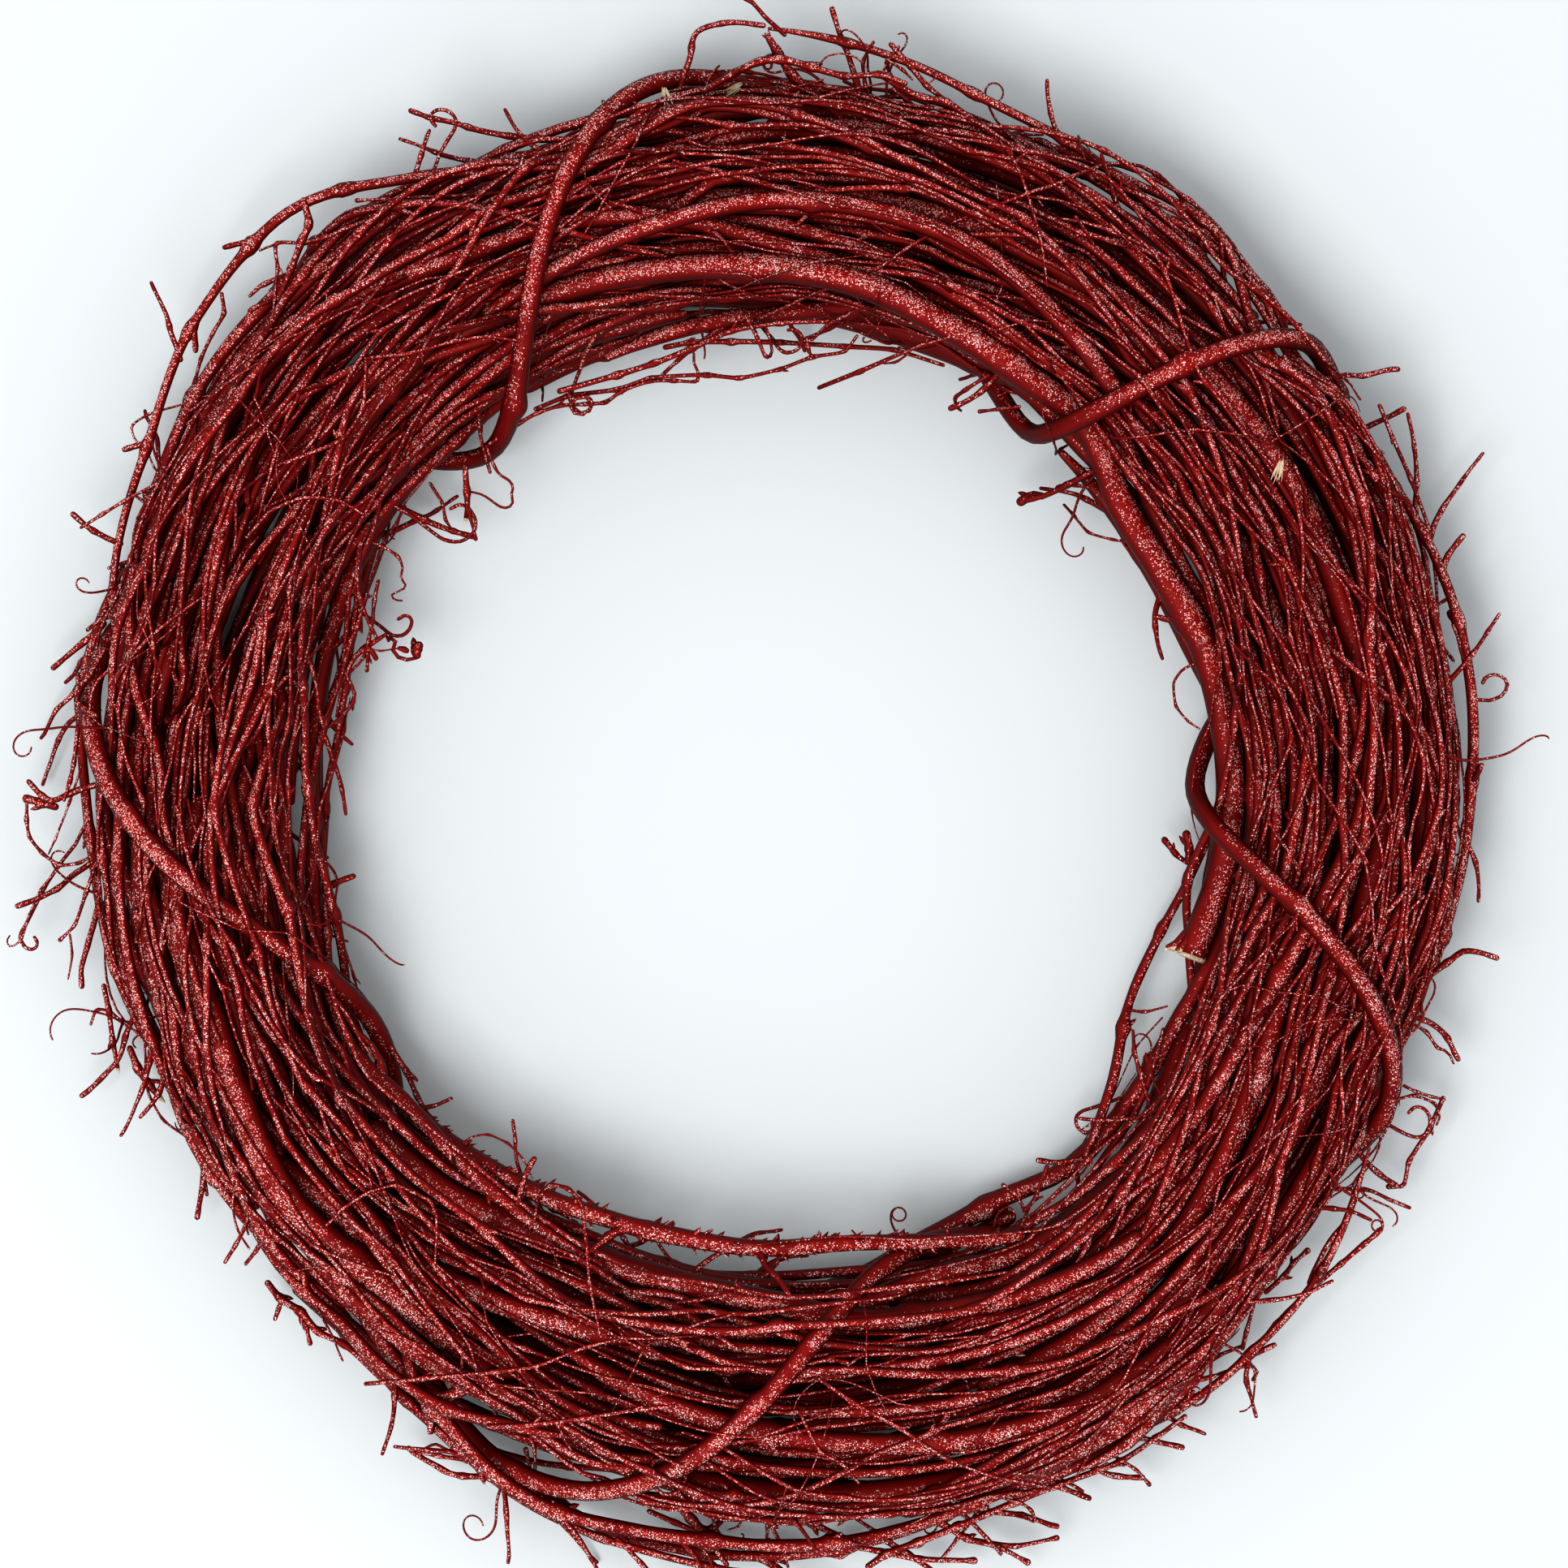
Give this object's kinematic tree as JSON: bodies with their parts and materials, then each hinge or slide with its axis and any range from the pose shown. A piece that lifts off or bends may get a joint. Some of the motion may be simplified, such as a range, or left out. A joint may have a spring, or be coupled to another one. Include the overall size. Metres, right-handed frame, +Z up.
{
  "type": "grapevine wreath",
  "caption": "Round wreath of coiled grapevine canes with side twigs and tendrils, bound by a vine wound round the bundle, painted red with fine glitter.",
  "frame": {"origin": "middle of the wreath's footprint, on the surface that it lies on", "axes": "+Z up, through the hole; +Y towards the top of the picture, +X to its right"},
  "size_m": [0.3772, 0.4138, 0.055],
  "materials": {
    "painted_vine": "woody vine painted red, satin on its sides and underside, with fine red glitter on the upper side",
    "bare_wood": "pale cut wood and husk bits where the paint is missing"
  },
  "bodies": {
    "root": {"binding_vine": "painted_vine", "cut_end_cane": "painted_vine", "upper_smooth_cane": "painted_vine", "lower_thick_cane": "painted_vine", "thorny_cane": "painted_vine", "upper_left_stray": "painted_vine", "upper_right_stray": "painted_vine", "lower_right_stray": "painted_vine", "left_stray": "painted_vine", "outer_left_cane": "painted_vine", "bottom_outer_cane": "painted_vine", "bottom_stray_long": "painted_vine", "bottom_stray_short": "painted_vine", "right_stray_outer": "painted_vine", "right_stray_upper": "painted_vine", "inner_stray": "painted_vine", "inner_low_cane": "painted_vine", "thick_cane_01": "painted_vine", "thick_cane_02": "painted_vine", "thick_cane_03": "painted_vine", "thick_cane_04": "painted_vine", "thick_cane_05": "painted_vine", "thick_cane_06": "painted_vine", "cane_01": "painted_vine", "cane_02": "painted_vine", "cane_03": "painted_vine", "cane_04": "painted_vine", "cane_05": "painted_vine", "cane_06": "painted_vine", "cane_07": "painted_vine", "cane_08": "painted_vine", "cane_09": "painted_vine", "cane_10": "painted_vine", "cane_11": "painted_vine", "cane_12": "painted_vine", "cane_13": "painted_vine", "cane_14": "painted_vine", "cane_15": "painted_vine", "thin_cane_01": "painted_vine", "thin_cane_02": "painted_vine", "thin_cane_03": "painted_vine", "thin_cane_04": "painted_vine", "thin_cane_05": "painted_vine", "thin_cane_06": "painted_vine", "thin_cane_07": "painted_vine", "thin_cane_08": "painted_vine", "thin_cane_09": "painted_vine", "thin_cane_10": "painted_vine", "thin_cane_11": "painted_vine", "thin_cane_12": "painted_vine", "thin_cane_13": "painted_vine", "thin_cane_14": "painted_vine", "thin_cane_15": "painted_vine", "thin_cane_16": "painted_vine", "thin_cane_17": "painted_vine", "thin_cane_18": "painted_vine", "thin_cane_19": "painted_vine", "thin_cane_20": "painted_vine"}
  },
  "joints": []
}
